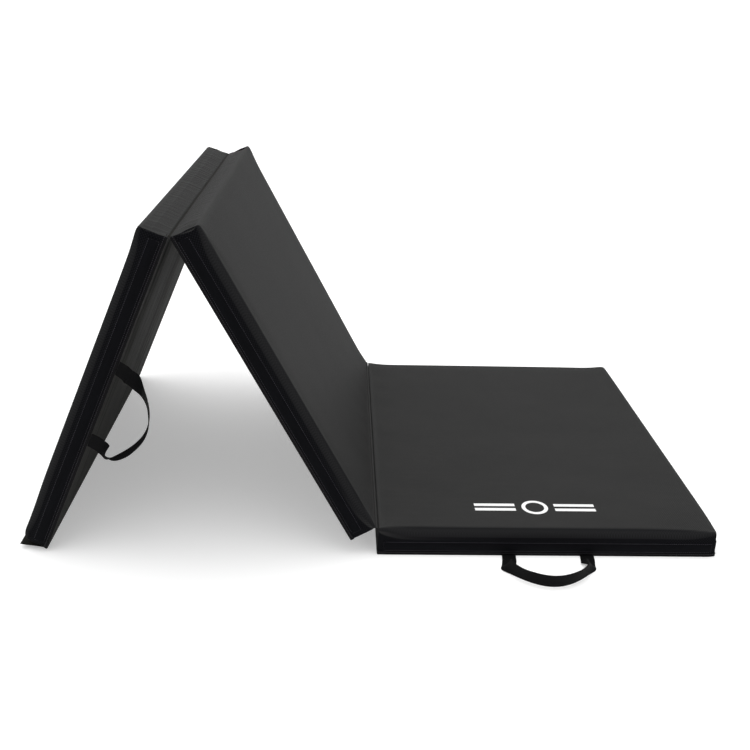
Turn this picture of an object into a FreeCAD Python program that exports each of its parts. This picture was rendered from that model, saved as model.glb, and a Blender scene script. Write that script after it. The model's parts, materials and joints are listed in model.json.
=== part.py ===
import FreeCAD, Part
import math
import os

# Folding gym mat: three foam panels in vinyl covers, hinged in a Z-fold and stood up as a tent.
# Panel 3 lies flat on the floor, panel 2 leans up from it and panel 1 leans back down to its foot.
# Millimetres and degrees. The origin is the centre of panel 3's underside, +X runs along the mat
# from the foot towards panel 3, -Y is the front, which carries the handles, and +Z is up.
#
# Each piece is drawn on the mat as if the mat were unfolded flat, and to_rest then folds it up.

V = FreeCAD.Vector
ALONG_Y = V(0, 1, 0)

# Panels
PANEL_LENGTH = 600.0
PANEL_WIDTH = 800.0
PANEL_THICK = 50.0
SKIN = 1.0                  # vinyl sheet
FOAM_EASE = 0.3             # air between the foam and the cover
CORNER_ROUND = 8.0          # upright corners at the mat's two ends
EDGE_ROUND = 6.0            # soft top edges

# Folds
HINGE_GAP = 1.5             # half the gap between two end walls when the mat is flat
HINGE_LIFT = 0.5            # the hinge line stands off the faces that fold together by this much
LEAN_2 = 61.83              # panel 2's slope above the floor
WEB_THICK = 0.8             # flexible strip sewn across each fold
WEB_LEG = 8.0               # how far the strip runs down each end wall

# Bottom hem: the base sheet turned up round the walls
HEM_THICK = 0.8
HEM_HIGH = 7.0

# Hook-and-loop tape round the sides
TAPE_THICK = 1.6
TAPE_WIDE = 20.0
TAPE_LOW = 7.5
TAPE_SHORT = 10.0           # the tape stops this far from the panel's corners

# Carrying handles, 25 mm webbing
STRAP_WIDE = 25.0
STRAP_THICK = 1.6
STRAP_LEG_PITCH = 138.0     # between the middles of a handle's two legs
STRAP_LEG_OUT = 48.0        # how far the legs stand out of the seam
STRAP_BOW_OUT = 96.0        # how far the hand grip stands out of the seam
STRAP_ROOT_R = 1.0          # the seam line that the handle swings about
STRAP_ROOT_OUT = 1.8        # that line's distance from the hem
HANDLE_1_HANG = -90.0       # handle 1 hangs square off panel 1's underside

# End flap under the foot
FLAP_ROOT_R = 3.0           # rolled seam that the flap swings on, and that the foot stands on
FLAP_ROOT_GAP = 0.3
FLAP_LONG = 780.0
FLAP_DEEP = 44.0
FLAP_THICK = 1.6
FLAP_OPEN = 9.5             # at rest, away from the end wall
FLAP_TAPE_FROM = 14.0       # along the flap, from the rolled seam

# Hinge lines and the foot, in the XZ plane
HALF_LENGTH = PANEL_LENGTH / 2
HALF_WIDTH = PANEL_WIDTH / 2
PANEL_STEP = PANEL_LENGTH + 2 * HINGE_GAP
MIDDLE = {3: 0.0, 2: -PANEL_STEP, 1: -2 * PANEL_STEP}
FOLD_2_3 = V(-HALF_LENGTH - HINGE_GAP, 0, PANEL_THICK + HINGE_LIFT)
FOLD_1_2_FLAT = V(-HALF_LENGTH - HINGE_GAP - PANEL_STEP, 0, -HINGE_LIFT)
FLAP_ROOT_OUT = HEM_THICK + FLAP_ROOT_GAP + FLAP_ROOT_R
FLAP_ROOT_FLAT = V(MIDDLE[1] - HALF_LENGTH - FLAP_ROOT_OUT, 0, FLAP_ROOT_R)

# Which faces each panel folds on: the end that hinges on the top face, on the bottom face, or is free.
TOP_HINGE = {3: -1, 2: 1, 1: 0}
BOTTOM_HINGE = {3: 0, 2: -1, 1: 1}
FREE_END = {3: 1, 2: 0, 1: -1}


def lean_of_panel_1():
    """Panel 1's slope, so that the flap's rolled seam stands on the floor."""
    lean = math.radians(LEAN_2)
    drop = PANEL_STEP * math.sin(lean) - (PANEL_THICK + 2 * HINGE_LIFT) * math.cos(lean)
    height = FOLD_2_3.z + drop - FLAP_ROOT_R
    reach = HINGE_GAP + PANEL_LENGTH + FLAP_ROOT_OUT
    rise = HINGE_LIFT + FLAP_ROOT_R
    return math.degrees(math.asin(height / math.hypot(reach, rise)) + math.atan2(rise, reach))


LEAN_1 = lean_of_panel_1()


def to_rest(shape, panel):
    """Carry a shape drawn on the flat mat to where its panel rests."""
    if panel == 1:
        shape.rotate(FOLD_1_2_FLAT, ALONG_Y, -(LEAN_2 + LEAN_1))
    if panel < 3:
        shape.rotate(FOLD_2_3, ALONG_Y, LEAN_2)
    return shape


def prism(points, y_low, y_high):
    """A solid with the XZ outline given, from y_low to y_high."""
    corners = [V(x, y_low, z) for x, z in points]
    return Part.Face(Part.makePolygon(corners + corners[:1])).extrude(V(0, y_high - y_low, 0))


def block(panel, inset, z_low, z_high, edge_round=0.0):
    """A panel-shaped block, smaller all round than the cover's outside by the inset."""
    half_x = HALF_LENGTH - inset
    half_y = HALF_WIDTH - inset
    shape = Part.makeBox(2 * half_x, 2 * half_y, z_high - z_low, V(-half_x, -half_y, z_low))
    if FREE_END[panel]:
        end = FREE_END[panel] * half_x
        upright = [e for e in shape.Edges
                   if e.BoundBox.ZLength > 0.1 and abs(e.BoundBox.Center.x - end) < 0.1]
        shape = shape.makeFillet(CORNER_ROUND - inset, upright)
    if edge_round:
        hinge = TOP_HINGE[panel] * half_x
        rim = [e for e in shape.Edges
               if e.BoundBox.ZMin > z_high - 0.1
               and not (hinge and e.BoundBox.XLength < 0.1 and abs(e.BoundBox.Center.x - hinge) < 0.1)]
        shape = shape.makeFillet(edge_round, rim)
    shape.translate(V(MIDDLE[panel], 0, 0))
    return shape


def top_cover(panel):
    """Vinyl top and four walls, open underneath."""
    outside = block(panel, 0, SKIN, PANEL_THICK, EDGE_ROUND)
    inside = block(panel, SKIN, 0, PANEL_THICK - SKIN, EDGE_ROUND - SKIN)
    return outside.cut(inside)


def foam_core(panel):
    """The solid foam slab inside the cover."""
    inset = SKIN + FOAM_EASE
    return block(panel, inset, SKIN, PANEL_THICK - inset, EDGE_ROUND - inset)


def base_sheet(panel):
    """Vinyl underside with its hem turned up, except along a fold on the bottom face."""
    tray = block(panel, -HEM_THICK, 0, HEM_HIGH)
    tray = tray.cut(block(panel, 0, SKIN, HEM_HIGH + SKIN))
    side = BOTTOM_HINGE[panel]
    if side:
        beyond = Part.makeBox(PANEL_STEP, 2 * PANEL_WIDTH, 4 * HEM_HIGH)
        beyond_x = (PANEL_STEP + PANEL_LENGTH) / 2 * side - PANEL_STEP / 2
        beyond.translate(V(MIDDLE[panel] + beyond_x, -PANEL_WIDTH, -HEM_HIGH))
        tray = tray.cut(beyond)
    return tray


def side_tape(panel, side):
    """Hook-and-loop tape along the front wall (side -1) or the back wall (side 1)."""
    length = PANEL_LENGTH - 2 * TAPE_SHORT
    y_wall = side * HALF_WIDTH
    y_low = min(y_wall, y_wall + side * TAPE_THICK)
    return Part.makeBox(length, TAPE_THICK, TAPE_WIDE,
                        V(MIDDLE[panel] - length / 2, y_low, TAPE_LOW))


def end_tape():
    """Loop tape on panel 3's free end wall, the mate of the flap's hook tape."""
    length = PANEL_WIDTH - 2 * TAPE_SHORT
    return Part.makeBox(TAPE_THICK, length, TAPE_WIDE, V(HALF_LENGTH, -length / 2, TAPE_LOW))


def rest_xz(panel, x, z):
    """Where a point of the flat mat rests, as an XZ pair."""
    point = to_rest(Part.Vertex(x, 0, z), panel)
    return point.Point.x, point.Point.z


def hinge_web(right_panel, z_edge, inward):
    """Strip across the fold on the left of a panel: a leg on each end wall and the bend between."""
    left_panel = right_panel - 1
    right_wall = MIDDLE[right_panel] - HALF_LENGTH
    left_wall = MIDDLE[left_panel] + HALF_LENGTH
    z_tip = z_edge + inward * WEB_LEG
    z_inside = z_edge + inward * WEB_THICK
    right_leg = [(right_wall, z_edge), (right_wall, z_tip),
                 (right_wall - WEB_THICK, z_tip), (right_wall - WEB_THICK, z_inside)]
    left_leg = [(left_wall + WEB_THICK, z_inside), (left_wall + WEB_THICK, z_tip),
                (left_wall, z_tip), (left_wall, z_edge)]
    outline = [rest_xz(right_panel, x, z) for x, z in right_leg]
    outline += [rest_xz(left_panel, x, z) for x, z in left_leg]
    half = HALF_WIDTH - EDGE_ROUND
    return prism(outline, -half, half)


def handle_strap(panel, hang):
    """Webbing handle: two legs out of the bottom seam, joined by a grip that stands on edge."""
    root_y = -HALF_WIDTH - HEM_THICK - STRAP_ROOT_OUT
    leg_end = -HALF_WIDTH - STRAP_LEG_OUT
    pieces = []
    for side in (-1, 1):
        x_low = side * STRAP_LEG_PITCH / 2 - STRAP_WIDE / 2
        pieces.append(Part.makeBox(STRAP_WIDE, root_y - leg_end, STRAP_THICK, V(x_low, leg_end, 0)))
        pieces.append(Part.makeCylinder(STRAP_ROOT_R, STRAP_WIDE, V(x_low, root_y, STRAP_ROOT_R),
                                        V(1, 0, 0)))
    reach = (STRAP_LEG_PITCH + STRAP_WIDE - STRAP_THICK) / 2
    start = V(-reach, leg_end + STRAP_THICK, 0)
    middle = V(0, -HALF_WIDTH - STRAP_BOW_OUT, 0)
    end = V(reach, leg_end + STRAP_THICK, 0)
    line = Part.Wire([Part.Arc(start, middle, end).toShape()])
    grip = line.makeOffset2D(STRAP_THICK, 0, True, True).extrude(V(0, 0, STRAP_WIDE))
    strap = grip.fuse(pieces).removeSplitter()
    strap.translate(V(MIDDLE[panel], 0, 0))
    root = V(MIDDLE[panel], root_y, STRAP_ROOT_R)
    strap.rotate(root, V(1, 0, 0), -hang)
    return strap


def flap_at_rest(shape):
    """Swing a shape drawn against panel 1's end wall open, with the flap."""
    shape.rotate(FLAP_ROOT_FLAT, ALONG_Y, -FLAP_OPEN)
    return shape


def end_flap():
    """Doubled vinyl flap with a rolled seam at its root."""
    half = FLAP_LONG / 2
    root = FLAP_ROOT_FLAT
    seam = Part.makeCylinder(FLAP_ROOT_R, FLAP_LONG, V(root.x, -half, root.z), ALONG_Y)
    sheet = Part.makeBox(FLAP_THICK, FLAP_LONG, FLAP_DEEP, V(root.x - FLAP_THICK / 2, -half, root.z))
    return flap_at_rest(seam.fuse(sheet).removeSplitter())


def end_flap_tape():
    """Hook tape on the flap's outer side."""
    root = FLAP_ROOT_FLAT
    length = FLAP_LONG - TAPE_SHORT
    corner = V(root.x - FLAP_THICK / 2 - TAPE_THICK, -length / 2, root.z + FLAP_TAPE_FROM)
    return flap_at_rest(Part.makeBox(TAPE_THICK, length, TAPE_WIDE, corner))


def build():
    """Every piece at rest, by name."""
    pieces = {}
    for panel in (1, 2, 3):
        pieces[f"foam_core_{panel}"] = to_rest(foam_core(panel), panel)
        pieces[f"top_cover_{panel}"] = to_rest(top_cover(panel), panel)
        pieces[f"base_sheet_{panel}"] = to_rest(base_sheet(panel), panel)
        pieces[f"front_loop_tape_{panel}"] = to_rest(side_tape(panel, -1), panel)
        pieces[f"back_hook_tape_{panel}"] = to_rest(side_tape(panel, 1), panel)
    pieces["end_loop_tape_3"] = end_tape()
    pieces["hinge_web_2_3"] = hinge_web(3, PANEL_THICK, -1)
    pieces["hinge_web_1_2"] = hinge_web(2, 0, 1)
    pieces["handle_strap_3"] = handle_strap(3, 0)
    pieces["handle_strap_1"] = to_rest(handle_strap(1, HANDLE_1_HANG), 1)
    pieces["end_flap"] = to_rest(end_flap(), 1)
    pieces["end_flap_hook_tape"] = to_rest(end_flap_tape(), 1)
    return pieces


os.makedirs("parts", exist_ok=True)
for name, shape in build().items():
    assert shape.isValid() and len(shape.Solids) == 1, name
    shape.exportStep(f"parts/{name}.step")
    box = shape.BoundBox
    print(f"{name:20s} volume {shape.Volume / 1000:9.1f} cm3   x {box.XMin:8.1f} {box.XMax:8.1f}"
          f"   y {box.YMin:7.1f} {box.YMax:7.1f}   z {box.ZMin:6.2f} {box.ZMax:6.1f}")
print(f"panel 2 leans {LEAN_2:.3f} degrees, panel 1 leans {LEAN_1:.3f} degrees")
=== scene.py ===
import json
import math

import bpy
from mathutils import Matrix, Vector, noise
from mathutils.bvhtree import BVHTree


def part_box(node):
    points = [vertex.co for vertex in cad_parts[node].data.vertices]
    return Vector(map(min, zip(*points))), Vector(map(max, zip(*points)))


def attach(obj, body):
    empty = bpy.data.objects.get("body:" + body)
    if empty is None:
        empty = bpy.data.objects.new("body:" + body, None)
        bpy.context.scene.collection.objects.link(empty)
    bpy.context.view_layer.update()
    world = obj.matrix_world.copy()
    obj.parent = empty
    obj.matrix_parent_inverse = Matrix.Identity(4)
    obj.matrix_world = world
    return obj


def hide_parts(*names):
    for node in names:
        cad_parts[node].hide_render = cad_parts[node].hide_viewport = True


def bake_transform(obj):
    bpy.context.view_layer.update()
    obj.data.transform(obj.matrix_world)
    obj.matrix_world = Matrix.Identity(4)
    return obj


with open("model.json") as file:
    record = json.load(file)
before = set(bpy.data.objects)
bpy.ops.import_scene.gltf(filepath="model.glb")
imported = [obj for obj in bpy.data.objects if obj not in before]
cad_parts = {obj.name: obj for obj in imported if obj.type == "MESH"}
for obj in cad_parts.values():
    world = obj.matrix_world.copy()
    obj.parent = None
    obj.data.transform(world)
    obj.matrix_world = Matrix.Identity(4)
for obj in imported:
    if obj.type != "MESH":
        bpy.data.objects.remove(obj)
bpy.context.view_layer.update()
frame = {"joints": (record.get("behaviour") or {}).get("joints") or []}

MM = 0.001
X, Y, Z = Vector((1, 0, 0)), Vector((0, 1, 0)), Vector((0, 0, 1))

# ---------------------------------------------------------------- the frame, from the CAD

JOINTS = {joint["name"]: joint for joint in frame["joints"]}
cover_low, cover_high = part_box("top_cover_3")
hem_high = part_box("base_sheet_3")[1]
tape_low, tape_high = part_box("front_loop_tape_3")
HALF_L = cover_high.x
HALF_W = cover_high.y
THICK = cover_high.z
HEM = hem_high.x - HALF_L           # thickness of the turned-up hem
HEM_HIGH = hem_high.z
FOLD_2_3 = Vector(JOINTS["fold_2_3"]["pos_m"])
HINGE_GAP = -HALF_L - FOLD_2_3.x
HINGE_LIFT = FOLD_2_3.z - THICK
STEP = 2 * (HALF_L + HINGE_GAP)
LEAN_2 = -math.radians(JOINTS["fold_2_3"]["range_deg"][0])
FOLD_1 = -math.radians(JOINTS["fold_1_2"]["range_deg"][0])
PANELS = (1, 2, 3)


def turn_about(point, angle):
    """Rotation about the line through a point along +Y."""
    return Matrix.Translation(point) @ Matrix.Rotation(angle, 4, "Y") @ Matrix.Translation(-point)


LIFT_2 = turn_about(FOLD_2_3, LEAN_2)
FOLD_1_2_FLAT = Vector((FOLD_2_3.x - STEP, 0, -HINGE_LIFT))
# A panel's own coordinates have their origin under its middle, x along the mat and z up.
REST = {
    3: Matrix.Identity(4),
    2: LIFT_2 @ Matrix.Translation((-STEP, 0, 0)),
    1: LIFT_2 @ turn_about(FOLD_1_2_FLAT, -FOLD_1) @ Matrix.Translation((-2 * STEP, 0, 0)),
}
TOP_HINGE = {3: -1, 2: 1, 1: 0}         # which end folds on the top face
BOTTOM_HINGE = {3: 0, 2: -1, 1: 1}      # which end folds on the bottom face
FREE_END = {3: 1, 2: 0, 1: -1}


# ---------------------------------------------------------------- camera

CAMERA_PLACE = (-0.370, -1.808, 0.909)


def make_camera():
    """The view: low, from the front, a little left of the flat panel's middle."""
    pitch, yaw, roll = math.radians(22.06), math.radians(2.32), math.radians(1.70)
    forward = Vector((math.sin(yaw) * math.cos(pitch), math.cos(yaw) * math.cos(pitch), -math.sin(pitch)))
    level = Vector((math.cos(yaw), -math.sin(yaw), 0))
    upward = level.cross(forward)
    right = math.cos(roll) * level + math.sin(roll) * upward
    up = math.cos(roll) * upward - math.sin(roll) * level
    data = bpy.data.cameras.new("camera")
    data.sensor_width = 36
    data.lens = 45.3
    camera = bpy.data.objects.new("camera", data)
    rotation = Matrix((right, up, -forward)).transposed().to_4x4()
    camera.matrix_world = Matrix.Translation(CAMERA_PLACE) @ rotation
    bpy.context.scene.collection.objects.link(camera)
    bpy.context.scene.camera = camera


make_camera()


# ---------------------------------------------------------------- material tools

class Nodes:
    """A short way to build a node tree: each call adds a node and returns it."""

    def __init__(self, name):
        self.material = bpy.data.materials.new(name)
        self.material.use_nodes = True
        self.tree = self.material.node_tree
        self.surface = self.tree.nodes["Principled BSDF"]

    def add(self, kind, inputs=None, **settings):
        node = self.tree.nodes.new(kind)
        for key, value in settings.items():
            setattr(node, key, value)
        for key, value in (inputs or {}).items():
            if isinstance(value, bpy.types.NodeSocket):
                self.tree.links.new(value, node.inputs[key])
            else:
                node.inputs[key].default_value = value
        return node

    def math(self, operation, a, b=0.0, clamp=False):
        return self.add("ShaderNodeMath", {0: a, 1: b}, operation=operation, use_clamp=clamp).outputs[0]

    def uv(self):
        return self.add("ShaderNodeUVMap", uv_map="metres").outputs[0]

    def noise(self, vector, scale, detail=2.0, roughness=0.5):
        return self.add("ShaderNodeTexNoise", {"Vector": vector, "Scale": scale, "Detail": detail,
                                               "Roughness": roughness}).outputs[0]

    def stretched(self, vector, x, y, z=1.0, angle=0.0):
        """The vector turned, then scaled, so that a pattern can run longer one way."""
        return self.add("ShaderNodeMapping", {"Vector": vector, "Rotation": (0, 0, angle),
                                              "Scale": (x, y, z)}).outputs[0]

    def ramp(self, value, low, high, low_at=0.0, high_at=1.0):
        node = self.add("ShaderNodeValToRGB", {0: value})
        node.color_ramp.elements[0].position = low_at
        node.color_ramp.elements[1].position = high_at
        node.color_ramp.elements[0].color = (*low, 1)
        node.color_ramp.elements[1].color = (*high, 1)
        return node.outputs[0]

    def threads(self, vector, pitch):
        """0 to 1, high on a square grid of rounded bumps one pitch apart."""
        split = self.add("ShaderNodeSeparateXYZ", {0: vector})
        turns = 2 * math.pi / pitch
        a = self.math("SINE", self.math("MULTIPLY", split.outputs[0], turns))
        b = self.math("SINE", self.math("MULTIPLY", split.outputs[1], turns))
        both = self.add("ShaderNodeMath", {0: self.math("MULTIPLY", a, b), 1: 0.5, 2: 0.5},
                        operation="MULTIPLY_ADD")
        return both.outputs[0]

    def bump(self, height, distance, strength=1.0, normal=None):
        inputs = {"Height": height, "Distance": distance, "Strength": strength}
        if normal is not None:
            inputs["Normal"] = normal
        return self.add("ShaderNodeBump", inputs).outputs[0]

    def finish(self, color=None, roughness=None, normal=None, **values):
        for key, value in (("Base Color", color), ("Roughness", roughness), ("Normal", normal)):
            if isinstance(value, bpy.types.NodeSocket):
                self.tree.links.new(value, self.surface.inputs[key])
            elif value is not None:
                self.surface.inputs[key].default_value = value
        for key, value in values.items():
            self.surface.inputs[key.replace("_", " ")].default_value = value
        return self.material


def tinted(level, tint):
    return tuple(level * part for part in tint)


SCRIM = 3.8 * MM       # pitch of the woven grid under the vinyl
BLUISH = (0.92, 0.94, 1.12)


def vinyl(name, level, tint, emboss, roughness, gloss, dots, gathers, wall=None):
    """PVC-coated fabric: the woven scrim shows through as a fine grid of bumps under a leather grain.

    gathers is how often the fine folds come, along and across the mesh, where its ripple value is above 0.
    wall is the level of a painted shade on a cover's walls, where the mesh's side value is 1: the walls get a
    darker colour than the top, standing in for their facing away from the overhead light.
    """
    n = Nodes(name)
    uv = n.uv()
    scrim = n.threads(uv, SCRIM)
    grain = n.noise(uv, 1400.0, 3.0, 0.6)
    cloud = n.noise(n.stretched(uv, 3.0, 9.0), 1.0, 4.0, 0.6)
    scuff = n.noise(n.stretched(uv, 18.0, 90.0, angle=0.5), 1.0, 4.0, 0.65)
    wear = n.add("ShaderNodeAttribute", attribute_name="wear").outputs["Fac"]
    shade = n.math("ADD", n.math("MULTIPLY", cloud, 0.2), n.math("MULTIPLY", scuff, 0.22))
    shade = n.math("ADD", shade, 0.19)
    woven = n.math("ADD", shade, n.math("MULTIPLY", n.math("SUBTRACT", scrim, 0.5), dots))
    color = n.ramp(woven, tinted(level * 0.55, tint), tinted(level * 1.45, tint), 0.15, 0.65)
    normal = n.bump(grain, 0.05 * MM, 0.55)
    normal = n.bump(scrim, 0.3 * MM, emboss, normal)
    ripple = n.add("ShaderNodeAttribute", attribute_name="ripple").outputs["Fac"]
    normal = n.bump(n.noise(n.stretched(uv, *gathers), 1.0, 2.0, 0.45), 5.0 * MM, ripple, normal)
    # Painted shade: where the side value is 1 the colour turns to a darker, bluish wall level with a coarser
    # dot grid, so the walls look shaded next to the lit top.
    if wall:
        coarse = n.threads(uv, 1.3 * SCRIM)
        knots = n.math("MULTIPLY", shade, 0.5)
        knots = n.math("ADD", knots, n.math("MULTIPLY", n.math("POWER", coarse, 2.0), 0.8))
        shaded_wall_colour = n.ramp(knots, tinted(wall * 0.35, BLUISH), tinted(wall * 2.4, BLUISH), 0.1, 0.9)
        side = n.add("ShaderNodeAttribute", attribute_name="side").outputs["Fac"]
        color = n.add("ShaderNodeMix", {0: side, 6: color, 7: shaded_wall_colour}, data_type="RGBA").outputs[2]
    # Edges are mixed towards a lighter colour where the wear value is high: partly real wear and dust, partly
    # a painted highlight along the edges that catch the light.
    worn_and_lit = n.add("ShaderNodeMix", {0: n.math("MULTIPLY", wear, 0.2), 6: color,
                                   7: (*tinted(level * 1.8, tint), 1)}, data_type="RGBA").outputs[2]
    rough = n.math("ADD", n.math("MULTIPLY", scuff, 0.14), roughness - 0.07)
    return n.finish(worn_and_lit, rough, normal, Specular_IOR_Level=gloss)


def tape_cloth(name, level, tint, fuzz):
    """Hook-and-loop tape: a dull, fuzzy pile on a woven ground with a plain selvedge."""
    n = Nodes(name)
    uv = n.uv()
    pile = n.noise(uv, 900.0, 4.0, 0.75)
    tufts = n.add("ShaderNodeTexVoronoi", {"Vector": uv, "Scale": 1.0 / (0.9 * MM)}).outputs["Distance"]
    ground = n.threads(uv, 1.1 * MM)
    height = n.math("ADD", n.math("MULTIPLY", pile, 0.7), n.math("MULTIPLY", tufts, fuzz))
    height = n.math("ADD", height, n.math("MULTIPLY", ground, 0.25))
    cloud = n.noise(n.stretched(uv, 12.0, 60.0), 1.0, 3.0)
    color = n.ramp(n.math("ADD", n.math("MULTIPLY", pile, 0.5), n.math("MULTIPLY", cloud, 0.5)),
                   tinted(level * 0.6, tint), tinted(level * 1.7, tint), 0.3, 0.7)
    return n.finish(color, 0.95, n.bump(height, 0.5 * MM, 0.8), Specular_IOR_Level=0.08,
                    Sheen_Weight=0.03, Sheen_Roughness=0.5, Sheen_Tint=(0.55, 0.58, 0.75, 1))


def webbing_cloth(name):
    """Polypropylene webbing: ribs across the strap, each broken into flat yarns along it."""
    n = Nodes(name)
    uv = n.uv()
    split = n.add("ShaderNodeSeparateXYZ", {0: uv})
    along = n.math("MULTIPLY", split.outputs[0], 2 * math.pi / (1.7 * MM))
    across = n.math("MULTIPLY", split.outputs[1], 2 * math.pi / (2.4 * MM))
    stagger = n.math("MULTIPLY", n.math("SIGN", n.math("SINE", across)), math.pi / 2)
    rib = n.math("SINE", n.math("ADD", along, stagger))
    yarn = n.math("ABSOLUTE", n.math("SINE", across))
    weave = n.math("MULTIPLY_ADD", n.math("MULTIPLY", rib, yarn), 0.5)
    fuzz = n.noise(uv, 2500.0, 3.0, 0.7)
    color = n.ramp(n.math("ADD", n.math("MULTIPLY", weave, 0.6), n.math("MULTIPLY", fuzz, 0.5)),
                   (0.0008, 0.0008, 0.0010), (0.0062, 0.0062, 0.0068), 0.2, 0.9)
    normal = n.bump(fuzz, 0.1 * MM, 0.5)
    return n.finish(color, 0.72, n.bump(weave, 0.5 * MM, 0.8, normal), Specular_IOR_Level=0.06,
                    Sheen_Weight=0.008, Sheen_Roughness=0.4)


def plain_thread(name):
    """Bonded sewing thread with a tight twist."""
    n = Nodes(name)
    place = n.add("ShaderNodeTexCoord").outputs["Object"]
    twist = n.noise(place, 3000.0, 2.0)
    color = n.ramp(twist, (0.006, 0.005, 0.009), (0.022, 0.019, 0.030), 0.3, 0.7)
    return n.finish(color, 0.5, n.bump(twist, 0.1 * MM, 0.6))


def print_ink(name):
    """White screen-print ink, thin enough for the vinyl's grid to show through."""
    n = Nodes(name)
    uv = n.uv()
    speckle = n.noise(uv, 500.0, 4.0, 0.7)
    color = n.ramp(speckle, (0.60, 0.60, 0.60), (0.86, 0.86, 0.86), 0.25, 0.5)
    normal = n.bump(n.threads(uv, SCRIM), 0.3 * MM, 0.4)
    return n.finish(color, 0.6, normal)


def foam_cells(name):
    """Closed-cell polyethylene foam."""
    n = Nodes(name)
    place = n.add("ShaderNodeTexCoord").outputs["Object"]
    cells = n.add("ShaderNodeTexVoronoi", {"Vector": place, "Scale": 700.0}).outputs["Distance"]
    color = n.ramp(cells, (0.55, 0.56, 0.55), (0.78, 0.79, 0.78), 0.0, 0.6)
    return n.finish(color, 0.85, n.bump(cells, 0.3 * MM, 0.6))


def studio_white(name, glow):
    """A pale surface that glows a little, like lit acrylic, so that shadows on it stay light."""
    n = Nodes(name)
    place = n.add("ShaderNodeTexCoord").outputs["Object"]
    color = n.ramp(n.noise(place, 3.0, 2.0), (0.80, 0.80, 0.80), (0.82, 0.82, 0.82))
    return n.finish(color, 0.7, Specular_IOR_Level=0.1, Emission_Color=(1, 1, 1, 1), Emission_Strength=glow)


# The cover's wall value sets the level of the painted shade on its walls.
COVER = vinyl("cover_vinyl", 0.031, (1.0, 1.0, 0.995), 0.6, 0.62, 0.016, 0.9, (95, 11), wall=0.0045)
UNDER = vinyl("base_vinyl", 0.013, (1.04, 1.02, 0.90), 0.25, 0.72, 0.03, 0.2, (5, 62))
HEM_VINYL = vinyl("hem_vinyl", 0.004, (0.97, 0.93, 1.08), 0.5, 0.5, 0.06, 0.5, (30, 30))
LOOP = tape_cloth("loop_tape", 0.0022, (0.85, 0.88, 1.2), 0.25)
HOOK = tape_cloth("hook_tape", 0.0028, (0.92, 0.94, 1.1), 0.8)
WEBBING = webbing_cloth("webbing")
THREAD = plain_thread("thread")
INK = print_ink("print_ink")
FOAM = foam_cells("foam")


# ---------------------------------------------------------------- mesh tools

def make_mesh(name, points, faces, materials, uvs=None, face_material=None, smooth=True, **values):
    """A mesh object. uvs holds one pair per face corner, face by face, in metres.

    Each further keyword is a list with one number per point, which the materials read by that name.
    """
    mesh = bpy.data.meshes.new(name)
    mesh.from_pydata([tuple(p) for p in points], [], faces)
    if uvs:
        layer = mesh.uv_layers.new(name="metres")
        layer.data.foreach_set("uv", [c for pair in uvs for c in pair])
    for material in materials:
        mesh.materials.append(material)
    if face_material:
        mesh.polygons.foreach_set("material_index", face_material)
    for key, column in values.items():
        mesh.attributes.new(key, "FLOAT", "POINT").data.foreach_set("value", column)
    mesh.polygons.foreach_set("use_smooth", [smooth] * len(mesh.polygons))
    mesh.update()
    obj = bpy.data.objects.new(name, mesh)
    bpy.context.scene.collection.objects.link(obj)
    return obj


def subdivide(obj, levels=1):
    modifier = obj.modifiers.new("smooth", "SUBSURF")
    modifier.levels = levels
    modifier.render_levels = levels


def thicken(obj, thickness, offset=0):
    solid = obj.modifiers.new("thickness", "SOLIDIFY")
    solid.thickness = thickness
    solid.offset = offset


def skin(us, vs, closed=False, flipped=False):
    """Faces and UVs over points kept row by row, with a u for each row and a v for each column.

    A closed grid is a tube with a face over each end.
    """
    across = len(vs)
    faces, uvs = [], []
    for k in range(len(us) - 1):
        for s in range(across if closed else across - 1):
            n = (s + 1) % across
            corners = [(k, s), (k, n), (k + 1, n), (k + 1, s)]
            if flipped:
                corners = corners[:1] + corners[:0:-1]
            faces.append([row * across + column for row, column in corners])
            uvs += [(us[row], vs[column]) for row, column in corners]
    if closed:
        for first in (0, (len(us) - 1) * across):
            order = range(first, first + across)
            faces.append(list(order if flipped == (first == 0) else reversed(order)))
            uvs += [(0, 0)] * across
    return faces, uvs


def lay_squares(index, xs, ys, faces, uvs, upward=False):
    """Squares over a grid of indexed points, facing up or down."""
    for i in range(len(xs) - 1):
        for j in range(len(ys) - 1):
            corners = [(i, j), (i, j + 1), (i + 1, j + 1), (i + 1, j)]
            if upward:
                corners = corners[:1] + corners[:0:-1]
            faces.append([index[c] for c in corners])
            uvs += [(xs[a], ys[b]) for a, b in corners]


def distances_round(points, ring):
    """How far round a closed ring each of its points lies, and its whole length."""
    run = [0.0]
    for a, b in zip(ring, ring[1:] + ring[:1]):
        run.append(run[-1] + (points[b] - points[a]).length)
    return run


def bell(distance, width):
    return math.exp(-(distance / width) ** 2)


def ease(value, low, high):
    """0 below low, 1 above high, smooth between."""
    t = min(max((value - low) / (high - low), 0.0), 1.0)
    return t * t * (3 - 2 * t)


def rounding(distance, radius):
    """How far a rounded edge drops at a distance in from it."""
    if distance >= radius:
        return 0.0
    return radius - math.sqrt(radius ** 2 - (radius - distance) ** 2)


def sign(value):
    return 1 if value > 0 else -1


def lines_between(half, spacing):
    """Grid lines from -half to half, close together near both edges."""
    edge = [d * MM for d in (0, 0.6, 2.2, 4.8, 8, 12, 16, 22, 30)]
    inner = half - edge[-1]
    count = round(2 * inner / spacing)
    middle = [-inner + 2 * inner * i / count for i in range(1, count)]
    return [d - half for d in edge] + middle + [half - d for d in reversed(edge)]


# ---------------------------------------------------------------- the padded covers

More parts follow.
